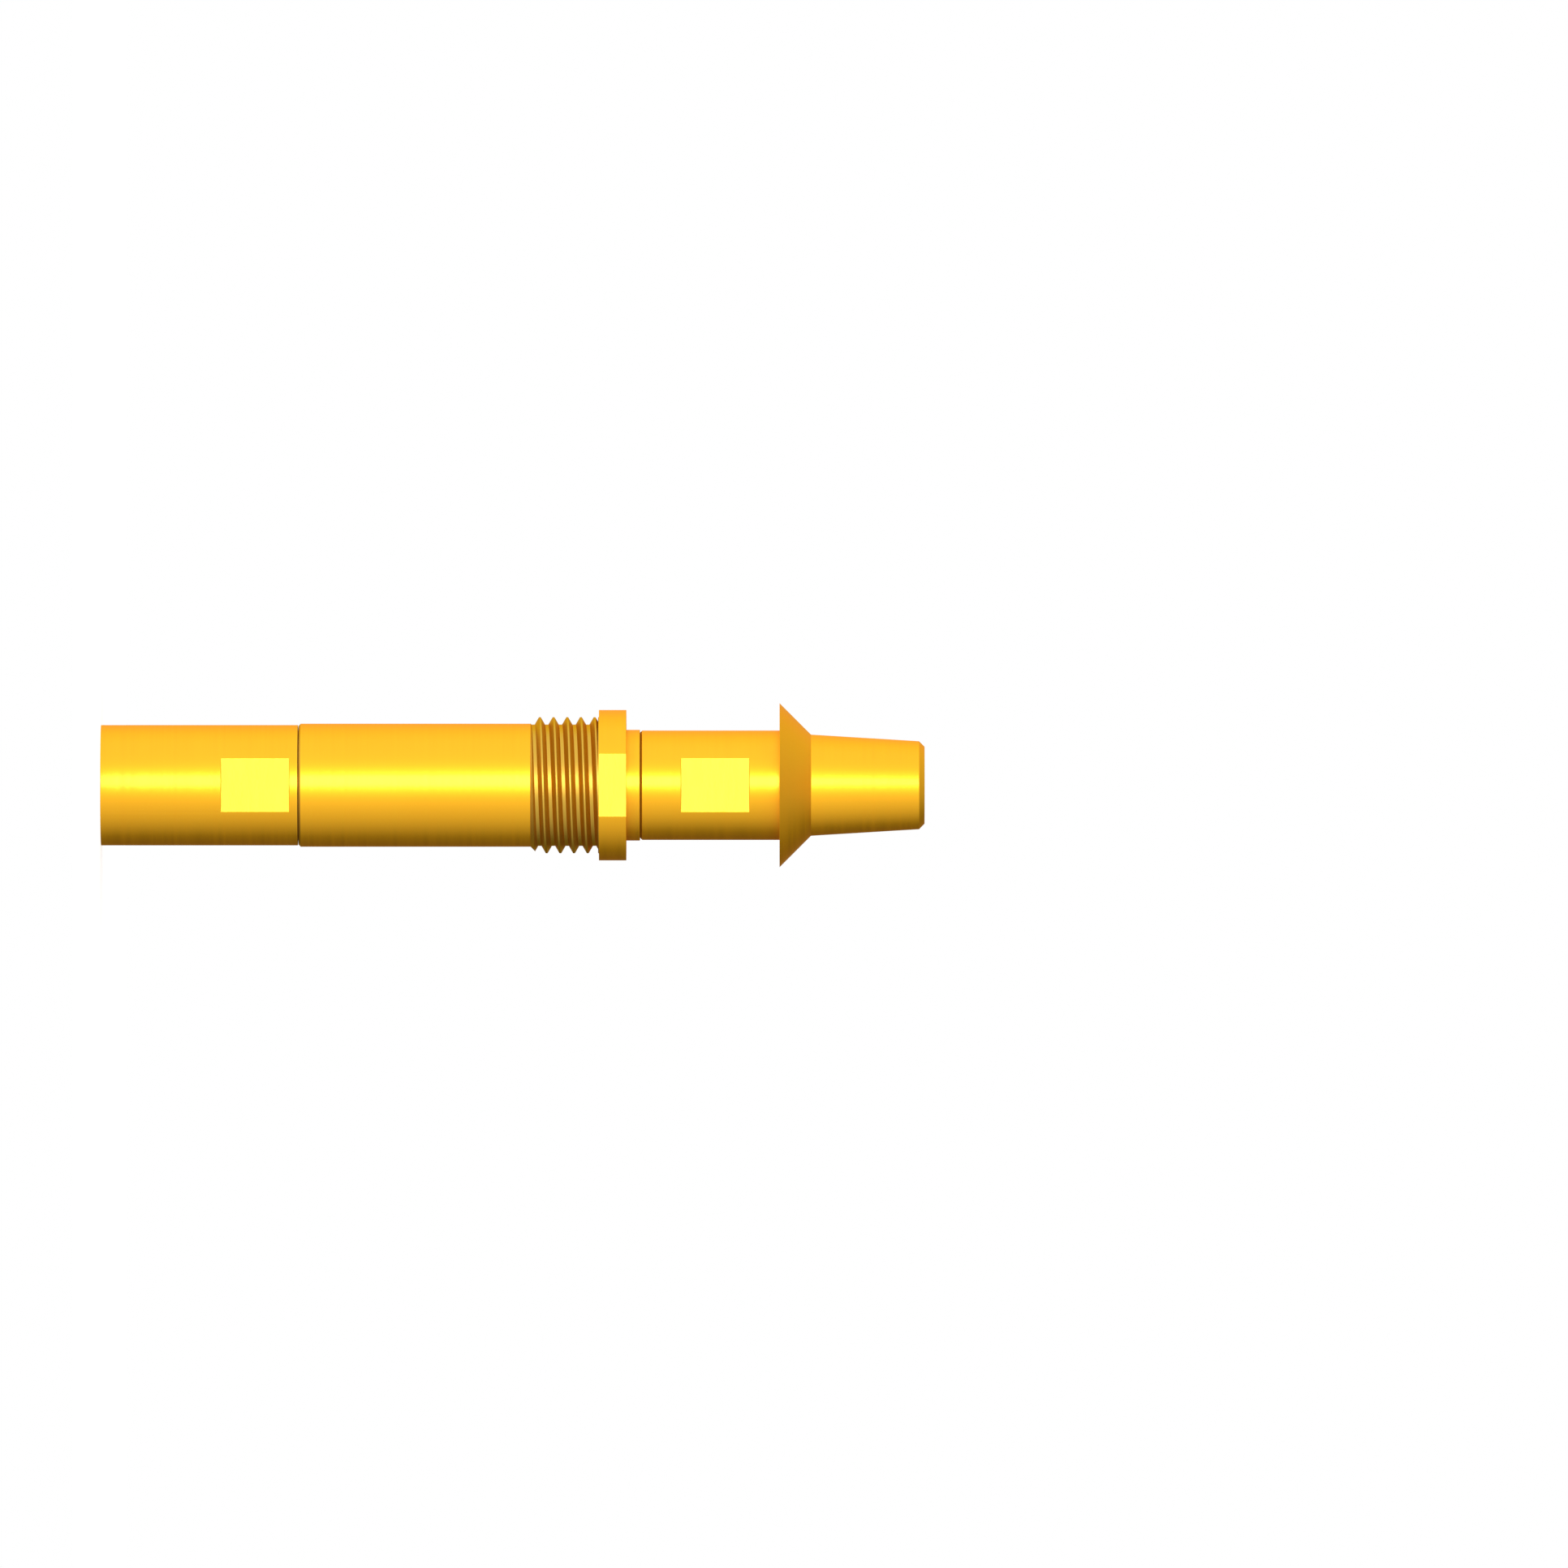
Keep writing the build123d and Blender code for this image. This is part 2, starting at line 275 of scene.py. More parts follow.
def newMaterial(name):  # with its node tree, and the place on the piece in mm
    material = bpy.data.materials.new(name)
    tree = emptyTree(material)
    coords = node(tree, "ShaderNodeTexCoord")
    place = node(tree, "ShaderNodeVectorMath", {
        0: coords.outputs["Object"], "Scale": 1 / mm,
    }, operation="SCALE")
    return material, tree, place.outputs[0]


def fineGrain(tree, place, pitch, roughness):  # noise, and the roughness that follows it
    grain = node(tree, "ShaderNodeTexNoise", {"Vector": place, "Scale": 1 / pitch, "Detail": 2.0})
    low, high = roughness
    rough = node(tree, "ShaderNodeMapRange", {
        "Value": grain.outputs["Fac"], "To Min": low, "To Max": high,
    })
    return grain.outputs["Fac"], rough.outputs[0]


goldLook = {
    "colour": (1.0, 0.505, 0.0115, 1.0),
    "deepColour": (1.0, 0.48, 0.0095, 1.0),
    "edgeColour": (1.0, 0.55, 0.1, 1.0),
    "roughness": (0.36, 0.46),
    "coat": 0.085,
    "coatBend": 2.3,
    "coatRoughness": 0.19,
    "markPitch": 0.16,  # mm between the broader tool marks
    "markDepth": 0.0012,  # mm
    "markRange": (0.3, 0.7),  # share of the noise that the roughness follows
    "cutterChange": 0.12,  # how little a cutter line changes along itself
    "cloudScale": 0.35,
}
# Painted shade: a darker, calmer gold for the thread and the joints, where light bounces twice and would
# turn orange
grooveShadeLook = dict(
    goldLook,
    colour=(0.65, 0.41, 0.06, 1.0),
    deepColour=(0.62, 0.385, 0.052, 1.0),
    coat=0.0,
)


def goldMaterial(name, look, milled=False):
    material, tree, place = newMaterial(name)
    x, y, z = node(tree, "ShaderNodeSeparateXYZ", {0: place}).outputs
    if milled:  # cutter lines run across the axis
        slow = node(tree, "ShaderNodeMath", {0: x, 1: look["cutterChange"]}, operation="MULTIPLY")
        track = node(tree, "ShaderNodeCombineXYZ", {"X": slow.outputs[0], "Z": z})
    else:  # tool marks run round the axis
        flat = node(tree, "ShaderNodeCombineXYZ", {"X": x, "Y": y})
        radius = node(tree, "ShaderNodeVectorMath", {0: flat.outputs[0]}, operation="LENGTH")
        track = node(tree, "ShaderNodeCombineXYZ", {"X": radius.outputs["Value"], "Z": z})
    marks = node(tree, "ShaderNodeTexNoise", {
        "Vector": track.outputs[0], "Scale": 1 / look["markPitch"], "Detail": 3.0, "Roughness": 0.55,
    })
    clouds = node(tree, "ShaderNodeTexNoise", {
        "Vector": place, "Scale": look["cloudScale"], "Detail": 2.0,
    })
    colour = node(tree, "ShaderNodeMix", {
        "Factor": clouds.outputs["Fac"], 6: look["colour"], 7: look["deepColour"],
    }, data_type="RGBA")
    least, most = look["markRange"]
    low, high = look["roughness"]
    rough = node(tree, "ShaderNodeMapRange", {
        "Value": marks.outputs["Fac"], "From Min": least, "From Max": most, "To Min": low, "To Max": high,
    })
    bump = node(tree, "ShaderNodeBump", {
        "Height": marks.outputs["Fac"], "Distance": look["markDepth"] * mm, "Strength": 1.0,
    })
    shader = node(tree, "ShaderNodeBsdfPrincipled", {
        "Base Color": colour.outputs[2], "Metallic": 1.0, "Roughness": rough.outputs[0],
        "Specular Tint": look["edgeColour"], "Coat Weight": look["coat"], "Coat IOR": look["coatBend"],
        "Coat Roughness": look["coatRoughness"], "Normal": bump.outputs[0],
    })
    node(tree, "ShaderNodeOutputMaterial", {"Surface": shader.outputs[0]})
    return material


steelLook = {"colour": (0.55, 0.55, 0.53, 1.0), "roughness": (0.22, 0.36), "drawPitch": 0.08}


def steelMaterial(name):
    look = steelLook
    material, tree, place = newMaterial(name)
    rough = fineGrain(tree, place, look["drawPitch"], look["roughness"])[1]
    shader = node(tree, "ShaderNodeBsdfPrincipled", {
        "Base Color": look["colour"], "Metallic": 1.0, "Roughness": rough,
    })
    node(tree, "ShaderNodeOutputMaterial", {"Surface": shader.outputs[0]})
    return material


ptfeLook = {
    "colour": (0.86, 0.86, 0.84, 1.0),
    "roughness": (0.38, 0.5),
    "sheenPitch": 0.2,
    "sheenDepth": 0.002,  # mm
    "milkiness": 0.3,
    "lightReach": 0.3,  # mm that light goes into it
}


def ptfeMaterial(name):
    look = ptfeLook
    material, tree, place = newMaterial(name)
    grain, rough = fineGrain(tree, place, look["sheenPitch"], look["roughness"])
    bump = node(tree, "ShaderNodeBump", {
        "Height": grain, "Distance": look["sheenDepth"] * mm, "Strength": 1.0,
    })
    shader = node(tree, "ShaderNodeBsdfPrincipled", {
        "Base Color": look["colour"], "Roughness": rough, "Normal": bump.outputs[0],
        "Subsurface Weight": look["milkiness"], "Subsurface Radius": [look["lightReach"]] * 3,
        "Subsurface Scale": mm,
    })
    node(tree, "ShaderNodeOutputMaterial", {"Surface": shader.outputs[0]})
    return material


turnedGold = goldMaterial("turnedGold", goldLook)
milledGold = goldMaterial("milledGold", goldLook, milled=True)
# Painted shade: the darker gold that the thread and the joint faces get
grooveShadeGold = goldMaterial("grooveShadeGold", grooveShadeLook)
springSteel = steelMaterial("springSteel")
whitePtfe = ptfeMaterial("whitePtfe")
print("materials ready")


# Camera, square on to the side, with the probe lying along the picture

view = {
    "lens": 1000,
    "sensor": 36,
    "distance": 1592,  # mm from the probe's axis
    "level": 6.763,
    "side": -0.0445,
    "clip": (0.01, 10),  # metres
}


def makeCamera():
    data = bpy.data.cameras.new("camera")
    data.lens = view["lens"]
    data.sensor_width = view["sensor"]
    data.clip_start, data.clip_end = view["clip"]
    camera = addObject("camera", data)
    turned = Matrix(((0, -1, 0), (0, 0, -1), (1, 0, 0))).to_4x4()  # picture right is +Z, up is -X
    place = Matrix.Translation(Vector((view["side"], -view["distance"], view["level"])) * mm)
    camera.matrix_world = place @ turned
    bpy.context.scene.camera = camera


makeCamera()


# Thread: a ridge swept along a helix by Geometry Nodes

threadSize = {
    "pitch": 0.5,
    "crestRadius": 2.49,
    "rootRadius": 2.2194,
    "crestWidth": 0.0625,
    "rootWidth": 0.375,
    "crestRound": 0.012,
    "firstCrest": -0.41,  # level of a crest on the +X side
    "turnsBelow": 6,
    "turnsAbove": 1,
    "stepsPerTurn": 128,
    "sunk": 0.08,  # the ridge's foot in the core
    "overlap": 0.01,  # into the full ring below the seat face
}


def newTree(name, inputs):  # with named inputs, and their identifiers for the modifier
    tree = bpy.data.node_groups.new(name, "GeometryNodeTree")
    tree.interface.new_socket("Geometry", in_out="OUTPUT", socket_type="NodeSocketGeometry")
    identifiers = {}
    for label, kind in inputs.items():
        made = tree.interface.new_socket(label, in_out="INPUT", socket_type="NodeSocket" + kind)
        identifiers[label] = made.identifier
    return tree, identifiers


def closeTree(tree, geometry, material):
    real = node(tree, "GeometryNodeRealizeInstances", {"Geometry": geometry})
    painted = node(tree, "GeometryNodeSetMaterial", {"Geometry": real.outputs[0], "Material": material})
    node(tree, "NodeGroupOutput", {0: painted.outputs[0]})


def growObject(name, tree, identifiers, values):
    obj = addObject(name, bpy.data.meshes.new(name))
    grow = obj.modifiers.new("grow", "NODES")
    grow.node_group = tree
    for label, value in values.items():
        grow[identifiers[label]] = value
    return obj


def ridgeTree():
    tree, identifiers = newTree("threadRidge", {
        "Pitch": "Float",
        "Turns": "Float",
        "Steps per turn": "Int",
        "Start level": "Float",
        "Foot radius": "Float",
        "Ridge height": "Float",
        "Foot width": "Float",
        "Crest width": "Float",
        "Crest rounding": "Float",
        "Material": "Material",
    })
    given = tree.nodes.new("NodeGroupInput").outputs
    rise = node(tree, "ShaderNodeMath", {0: given["Pitch"], 1: given["Turns"]}, operation="MULTIPLY")
    half = node(tree, "ShaderNodeMath", {0: given["Ridge height"], 1: 0.5}, operation="MULTIPLY")
    middle = node(tree, "ShaderNodeMath", {0: given["Foot radius"], 1: half.outputs[0]}, operation="ADD")
    helix = node(tree, "GeometryNodeCurveSpiral", {
        "Resolution": given["Steps per turn"],
        "Rotations": given["Turns"],
        "Start Radius": middle.outputs[0],
        "End Radius": middle.outputs[0],
        "Height": rise.outputs[0],
        "Reverse": True,  # right hand
    })
    level = node(tree, "ShaderNodeCombineXYZ", {"Z": given["Start level"]})
    placed = node(tree, "GeometryNodeTransform", {
        "Geometry": helix.outputs[0], "Translation": level.outputs[0],
    })
    upright = node(tree, "GeometryNodeSetCurveNormal", {"Curve": placed.outputs[0]}, mode="Z_UP")
    section = node(tree, "GeometryNodeCurvePrimitiveQuadrilateral", {
        "Height": given["Ridge height"],
        "Bottom Width": given["Foot width"],
        "Top Width": given["Crest width"],
        "Offset": 0.0,
    }, mode="TRAPEZOID")
    rounded = node(tree, "GeometryNodeFilletCurve", {
        "Curve": section.outputs[0], "Radius": given["Crest rounding"], "Limit Radius": True,
    })
    outward = node(tree, "GeometryNodeTransform", {
        "Geometry": rounded.outputs[0], "Rotation": (0, 0, -math.pi / 2),
    })
    swept = node(tree, "GeometryNodeCurveToMesh", {
        "Curve": upright.outputs[0], "Profile Curve": outward.outputs[0], "Fill Caps": True,
    })
    closeTree(tree, swept.outputs[0], given["Material"])
    return tree, identifiers


def makeRidge():
    size = threadSize
    tree, identifiers = ridgeTree()
    height = size["crestRadius"] - size["rootRadius"]
    slope = (size["rootWidth"] - size["crestWidth"]) / height
    return growObject("threadRidge", tree, identifiers, {
        "Pitch": size["pitch"],
        "Turns": float(size["turnsBelow"] + size["turnsAbove"]),
        "Steps per turn": size["stepsPerTurn"],
        "Start level": size["firstCrest"] - size["turnsBelow"] * size["pitch"],
        "Foot radius": size["rootRadius"] - size["sunk"],
        "Ridge height": height + size["sunk"],
        "Foot width": size["rootWidth"] + slope * size["sunk"],
        "Crest width": size["crestWidth"],
        "Crest rounding": size["crestRound"],
        # Painted shade: the ridge gets the darker groove gold
        "Material": grooveShadeGold,
    })


barrelSize = {
    "radius": 2.25,
    "boreRadius": 2.05,
    "threadStart": -2.5,
    "threadEnd": -0.03,  # a full ring is left below the seat face
    "seatRadius": 2.75,
    "acrossFlats": 5.0,
    "chamfer": 0.08,
    "mouthChamfer": 0.08,
    "edgeBreak": 0.02,
}


def makeBarrel():
    size = barrelSize
    outer, bore, seat = size["radius"], size["boreRadius"], size["seatRadius"]
    root, crest = threadSize["rootRadius"], threadSize["crestRadius"]
    start, end = size["threadStart"], size["threadEnd"]
    body = turn("threadedBarrel", [
        (bore, barrelRear),
        (outer - size["chamfer"], barrelRear),
        (outer, barrelRear + size["chamfer"]),
        (outer, start),
        (root, start),
        (root, end),
        (crest, end),
        (crest, 0),
        (seat, 0, True),
        (seat, collarFront, True),
        (bore + size["mouthChamfer"], collarFront),
        (bore, collarFront - size["mouthChamfer"]),
    ], across=size["acrossFlats"])
    softenEdges(body, size["edgeBreak"])
    inside = root - threadSize["sunk"] / 2
    runIn = end + threadSize["overlap"]
    envelope = turn("threadEnvelope", [
        (inside, start),
        (outer, start),
        (crest, start + crest - outer),
        (crest, runIn),
        (inside, runIn),
    ])
    ridge = makeRidge()
    bake(ridge)
    combine(ridge, envelope, "INTERSECT")
    bake(ridge)
    combine(body, ridge, "UNION")
    bake(body)
    discard(ridge, envelope)
    sharpen(body)
    weighNormals(body)
    finishPiece(body, [turnedGold, milledGold, grooveShadeGold], "barrel", "gold_plate", "threaded_barrel")
    markFlats(body, 0, collarFront)
    # Painted shade: the thread and the rear chamfer at the joint get the darker groove gold
    markRing(body, 2, start, -nearby, root - 2 * nearby)
    markRing(body, 2, barrelRear - nearby, barrelRear + size["chamfer"] - nearby, bore)


makeBarrel()


headSize = {
    "radius": 2.0,
    "chamfer": 0.08,
    "flatsLow": 3.0,
    "flatsHigh": 5.5,
    "acrossFlats": 3.48,
    "flangeLevel": 6.6,
    "flangeRadius": 3.0,
    "noseBase": 1.85,
    "noseTip": 1.61,
    "tipChamfer": 0.2,
    "mouthRadius": 1.2,
    "mouthChamfer": 0.06,
    "spigotRadius": 1.54,
    "lineRadius": 1.1,
    "edgeBreak": 0.02,
}


def makeHead():
    size = headSize
    radius, flange, mouth = size["radius"], size["flangeRadius"], size["mouthRadius"]
    joint = lipFront
    low, high = size["flatsLow"], size["flatsHigh"]
    coneTop = size["flangeLevel"] + flange - size["noseBase"]
    head = turn("contactHead", [
        (size["lineRadius"], headRear),
        (size["spigotRadius"], headRear),
        (size["spigotRadius"], joint),
        (radius - size["chamfer"], joint),
        (radius, joint + size["chamfer"]),
        (radius, low),
        (radius, low, True),
        (radius, high, True),
        (radius, high),
        (radius, size["flangeLevel"]),
        (flange, size["flangeLevel"]),
        (size["noseBase"], coneTop),
        (size["noseTip"], noseTip - size["tipChamfer"]),
        (size["noseTip"] - size["tipChamfer"], noseTip),
        (mouth + size["mouthChamfer"], noseTip),
        (mouth, noseTip - size["mouthChamfer"]),
        (mouth, insulatorRear),
        (size["lineRadius"], insulatorRear),
    ], across=size["acrossFlats"])
    softenEdges(head, size["edgeBreak"])
    weighNormals(head)
    finishPiece(head, [turnedGold, milledGold, grooveShadeGold], "plunger", "gold_plate", "contact_head")
    markFlats(head, low, high)
    # Painted shade: the darker groove gold on the chamfer at the joint with the sleeve
    markRing(head, 2, joint - nearby, joint + size["chamfer"] - nearby, size["spigotRadius"])


makeHead()


connectorSize = {
    "radius": 2.2,
    "acrossFlats": 3.94,
    "flatsSetback": 0.3,
    "flatsLength": 2.5,
    "shankRadius": 1.61,
    "seatRadius": 1.51,
    "ledgeRadius": 1.31,
    "ledgeHeight": 0.4,
    "socketRadius": 1.8,
    "grooveSetback": 1.1,
    "grooveWidth": 0.5,
    "grooveDepth": 0.12,
    "mouthChamfer": 0.15,
    "edgeBreak": 0.02,
}


def makeConnector():
    size = connectorSize
    radius, bore = size["radius"], size["socketRadius"]
    high = connectorFront - size["flatsSetback"]
    low = high - size["flatsLength"]
    groove = cableEnd + size["grooveSetback"]
    ledge = socketFloor + size["ledgeHeight"]
    connector = turn("cableConnector", [
        (bore + size["mouthChamfer"], cableEnd),
        (radius, cableEnd),
        (radius, low),
        (radius, low, True),
        (radius, high, True),
        (radius, high),
        (radius, connectorFront),
        (size["shankRadius"], connectorFront),
        (size["shankRadius"], rearInsulatorFront),
        (size["seatRadius"], rearInsulatorFront),
        (size["seatRadius"], ledge),
        (size["ledgeRadius"], ledge),
        (size["ledgeRadius"], socketFloor),
        (bore, socketFloor),
        (bore, groove + size["grooveWidth"] / 2),
        (bore + size["grooveDepth"], groove),
        (bore, groove - size["grooveWidth"] / 2),
        (bore, cableEnd + size["mouthChamfer"]),
    ], across=size["acrossFlats"])
    softenEdges(connector, size["edgeBreak"])
    weighNormals(connector)
    finishPiece(connector, [turnedGold, milledGold, grooveShadeGold], "plunger", "gold_plate", "cable_connector")
    markFlats(connector, low, high)
    # Painted shade: the darker groove gold on the front face, at the joint
    markRing(connector, 2, connectorFront - nearby, connectorFront + nearby, size["shankRadius"])


makeConnector()


sleeveSize = {
    "radius": 2.025,
    "shankRadius": 1.6,
    "spigotRadius": 1.55,
    "lineRadius": 1.1,
    "edgeBreak": 0.02,
}


def makeSleeve():
    size = sleeveSize
    sleeve = turn("plungerSleeve", [
        (size["lineRadius"], shankRear),
        (size["shankRadius"], shankRear),
        (size["shankRadius"], springFront),
        (size["radius"], springFront),
        (size["radius"], lipFront),
        (size["spigotRadius"], lipFront),
        (size["spigotRadius"], beadSeat),
        (size["lineRadius"], beadSeat),
    ])
    softenEdges(sleeve, size["edgeBreak"])
    weighNormals(sleeve)
    finishPiece(sleeve, [turnedGold, grooveShadeGold], "plunger", "gold_plate", "plunger_sleeve")
    # Painted shade: the darker groove gold on the lip face, at the joint with the head
    markRing(sleeve, 1, lipFront - nearby, lipFront + nearby, size["spigotRadius"])


makeSleeve()


bushSize = {"radius": 2.04, "boreRadius": 1.625, "edgeBreak": 0.03}


def makeBush():
    size = bushSize
    bush = turn("guideBush", [
        (size["boreRadius"], bushRear),
        (size["radius"], bushRear),
        (size["radius"], bushFront),
        (size["boreRadius"], bushFront),
    ])
    softenEdges(bush, size["edgeBreak"])
    weighNormals(bush)
    finishPiece(bush, [turnedGold], "barrel", "gold_plate", "guide_bush")


makeBush()


frontInsulatorSize = {
    "radius": 1.19,
    "pinHole": 0.275,
    "barrelHole": 0.4878,
    "barrelSeat": 0.8,
    "edgeBreak": 0.03,
    "columns": 160,
}


def makeFrontInsulator():
    size = frontInsulatorSize
    step = insulatorRear + size["barrelSeat"]
    bush = turn("frontInsulator", [
        (size["barrelHole"], insulatorRear),
        (size["radius"], insulatorRear),
        (size["radius"], insulatorFace),
        (size["pinHole"], insulatorFace),
        (size["pinHole"], step),
        (size["barrelHole"], step),
    ], columns=size["columns"])
    softenEdges(bush, size["edgeBreak"])
    weighNormals(bush)
    finishPiece(bush, [whitePtfe], "plunger", "ptfe", "front_insulator")


makeFrontInsulator()


rearInsulatorSize = {
    "radius": 1.5,
    "noseRadius": 1.3,
    "noseLength": 0.4,
    "hole": 0.4878,
    "edgeBreak": 0.03,
    "columns": 160,
}


def makeRearInsulator():
    size = rearInsulatorSize
    step = socketFloor + size["noseLength"]
    bush = turn("rearInsulator", [
        (size["hole"], socketFloor),
        (size["noseRadius"], socketFloor),
        (size["noseRadius"], step),
        (size["radius"], step),
        (size["radius"], rearInsulatorFront),
        (size["hole"], rearInsulatorFront),
    ], columns=size["columns"])
    softenEdges(bush, size["edgeBreak"])
    weighNormals(bush)
    finishPiece(bush, [whitePtfe], "plunger", "ptfe", "rear_insulator")


makeRearInsulator()


contactSize = {
    "radius": 0.4778,
    "pinHole": 0.25,
    "pinHoleDepth": 1.0,
    "rodHole": 0.3435,
    "rodHoleDepth": 0.9,
    "slotWidth": 0.12,
    "slotDepth": 0.8,
    "leadIn": 0.06,
    "columns": 128,
}


def makeSocketContact():
    size = contactSize
    radius, hole, leadIn = size["radius"], size["pinHole"], size["leadIn"]
    contact = turn("socketContact", [
        (0, socketFloor + size["pinHoleDepth"]),
        (hole, socketFloor + size["pinHoleDepth"]),
        (hole, socketFloor + leadIn),
        (hole + leadIn, socketFloor),
        (radius - leadIn / 2, socketFloor),
        (radius, socketFloor + leadIn / 2),
        (radius, contactFront),
        (size["rodHole"], contactFront),
        (size["rodHole"], contactFront - size["rodHoleDepth"]),
        (0, contactFront - size["rodHoleDepth"]),
    ], columns=size["columns"])
    cutters = []
    depth = size["slotDepth"]
    for wide, deep in ((4 * radius, size["slotWidth"]), (size["slotWidth"], 4 * radius)):
        cutter = box("slot", (wide, deep, 2 * depth), (0, 0, socketFloor))
        combine(contact, cutter, "DIFFERENCE")
        cutters.append(cutter)
    bake(contact)
    discard(*cutters)
    sharpen(contact)
    weighNormals(contact)
    finishPiece(contact, [turnedGold], "plunger", "gold_plate", "socket_contact")


makeSocketContact()


pinSize = {
    "radius": 0.25,
    "pistonRadius": 0.3528,
    "pistonLength": 1.4,
    "domeSteps": 12,
    "edgeBreak": 0.02,
    "sharpest": 40,  # degrees; the dome's rings lie flatter, so they get no edge rounds
    "columns": 96,
}


def makePin():
    size = pinSize
    radius, steps = size["radius"], size["domeSteps"]
    shoulder = pistonRear + size["pistonLength"]
    outline = [(0, pistonRear), (size["pistonRadius"], pistonRear), (size["pistonRadius"], shoulder)]
    outline.append((radius, shoulder))
    for i in range(steps + 1):
        angle = 0.5 * math.pi * i / steps
        outline.append((radius * math.cos(angle), pinTip - radius + radius * math.sin(angle)))
    pin = turn("contactPin", outline, columns=size["columns"])
    softenEdges(pin, size["edgeBreak"], angle=size["sharpest"])
    weighNormals(pin)
    finishPiece(pin, [turnedGold], "pin", "gold_plate", "contact_pin")


makePin()


# Springs: round wire on a helix with closed ends, by Geometry Nodes

def springTree():
    tree, identifiers = newTree("coilSpring", {
        "Coil radius": "Float",
        "Wire radius": "Float",
        "Working coils": "Float",
        "Low level": "Float",
        "High level": "Float",
        "End coil rise": "Float",
        "Points": "Int",
        "Material": "Material",
    })
    given = tree.nodes.new("NodeGroupInput").outputs

    def maths(operation, a, b=None):
        inputs = {0: a} if b is None else {0: a, 1: b}
        return node(tree, "ShaderNodeMath", inputs, operation=operation).outputs[0]

    line = node(tree, "GeometryNodeCurvePrimitiveLine")
    points = node(tree, "GeometryNodeResampleCurve", {"Curve": line.outputs[0], "Count": given["Points"]})
    along = node(tree, "GeometryNodeSplineParameter").outputs["Factor"]
    turns = maths("ADD", given["Working coils"], 2.0)
    turnNow = maths("MULTIPLY", along, turns)
    lastStart = maths("ADD", given["Working coils"], 1.0)
    firstEnd = maths("MINIMUM", turnNow, 1.0)
    secondEnd = maths("MAXIMUM", maths("SUBTRACT", turnNow, lastStart), 0.0)
    closed = maths("ADD", firstEnd, secondEnd)
    working = maths("SUBTRACT", turnNow, closed)
    ground = maths("MULTIPLY", given["Wire radius"], 0.5)
    start = maths("SUBTRACT", given["Low level"], ground)
    room = maths("SUBTRACT", maths("ADD", given["High level"], ground), start)
    ends = maths("MULTIPLY", given["End coil rise"], 2.0)
    coilRise = maths("DIVIDE", maths("SUBTRACT", room, ends), given["Working coils"])
    endClimb = maths("MULTIPLY", closed, given["End coil rise"])
    climb = maths("ADD", endClimb, maths("MULTIPLY", working, coilRise))
    level = maths("ADD", start, climb)
    angle = maths("MULTIPLY", turnNow, 2 * math.pi)
    place = node(tree, "ShaderNodeCombineXYZ", {
        "X": maths("MULTIPLY", given["Coil radius"], maths("COSINE", angle)),
        "Y": maths("MULTIPLY", given["Coil radius"], maths("SINE", angle)),
        "Z": level,
    })
    helix = node(tree, "GeometryNodeSetPosition", {
        "Geometry": points.outputs[0], "Position": place.outputs[0],
    })
    upright = node(tree, "GeometryNodeSetCurveNormal", {"Curve": helix.outputs[0]}, mode="Z_UP")
    section = node(tree, "GeometryNodeCurvePrimitiveCircle", {
        "Resolution": 16, "Radius": given["Wire radius"],
    })
    swept = node(tree, "GeometryNodeCurveToMesh", {
        "Curve": upright.outputs[0], "Profile Curve": section.outputs[0], "Fill Caps": True,
    })
    spot = node(tree, "GeometryNodeInputPosition").outputs[0]
    x, y, z = node(tree, "ShaderNodeSeparateXYZ", {0: spot}).outputs
    flatEnd = maths("MINIMUM", maths("MAXIMUM", z, given["Low level"]), given["High level"])
    kept = node(tree, "ShaderNodeCombineXYZ", {"X": x, "Y": y, "Z": flatEnd})
    groundFlat = node(tree, "GeometryNodeSetPosition", {
        "Geometry": swept.outputs[0], "Position": kept.outputs[0],
    })
    closeTree(tree, groundFlat.outputs[0], given["Material"])
    return tree, identifiers


coilTree, coilInputs = springTree()


def makeSpring(name, size, low, high):
    wire = size["wireRadius"]
    return growObject(name, coilTree, coilInputs, {
        "Coil radius": size["coilRadius"],
        "Wire radius": wire,
        "Working coils": float(size["coils"]),
        "Low level": low,
        "High level": high,
        "End coil rise": 2 * wire + size["closedGap"],
        "Points": (size["coils"] + 2) * size["stepsPerTurn"] + 1,
        "Material": springSteel,
    })


def fitSpring(spring, body, nodeName):
    finishPiece(spring, [springSteel], body, "spring_steel", nodeName)
    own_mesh(spring)


returnSpringSize = {
    "coilRadius": 1.85,
    "wireRadius": 0.15,
    "coils": 5,
    "closedGap": 0.01,
    "stepsPerTurn": 72,
}
pinSpringSize = {
    "coilRadius": 0.2778,
    "wireRadius": 0.05,
    "coils": 5,
    "closedGap": 0.01,
    "stepsPerTurn": 48,
}

returnSpring = makeSpring("returnSpring", returnSpringSize, springRear, springFront)
fitSpring(returnSpring, "barrel", "return_spring")
pinSpring = makeSpring("pinSpring", pinSpringSize, pinSpringRear, pinSpringFront)
fitSpring(pinSpring, "plunger", "pin_spring")


# Inner pieces that stay as the frame has them, with finishes of their own

def finishInner():
    finishes = {
        "support_bead": whitePtfe,
        "dielectric_tube": whitePtfe,
        "centre_rod": turnedGold,
        "pin_barrel": turnedGold,
        "bias_ball": springSteel,
    }
    for name, material in finishes.items():
        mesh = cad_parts[name].data
        mesh.materials.clear()
        mesh.materials.append(material)


finishInner()
print("inner pieces finished")


# Studio: white backdrop, pale floor, soft light

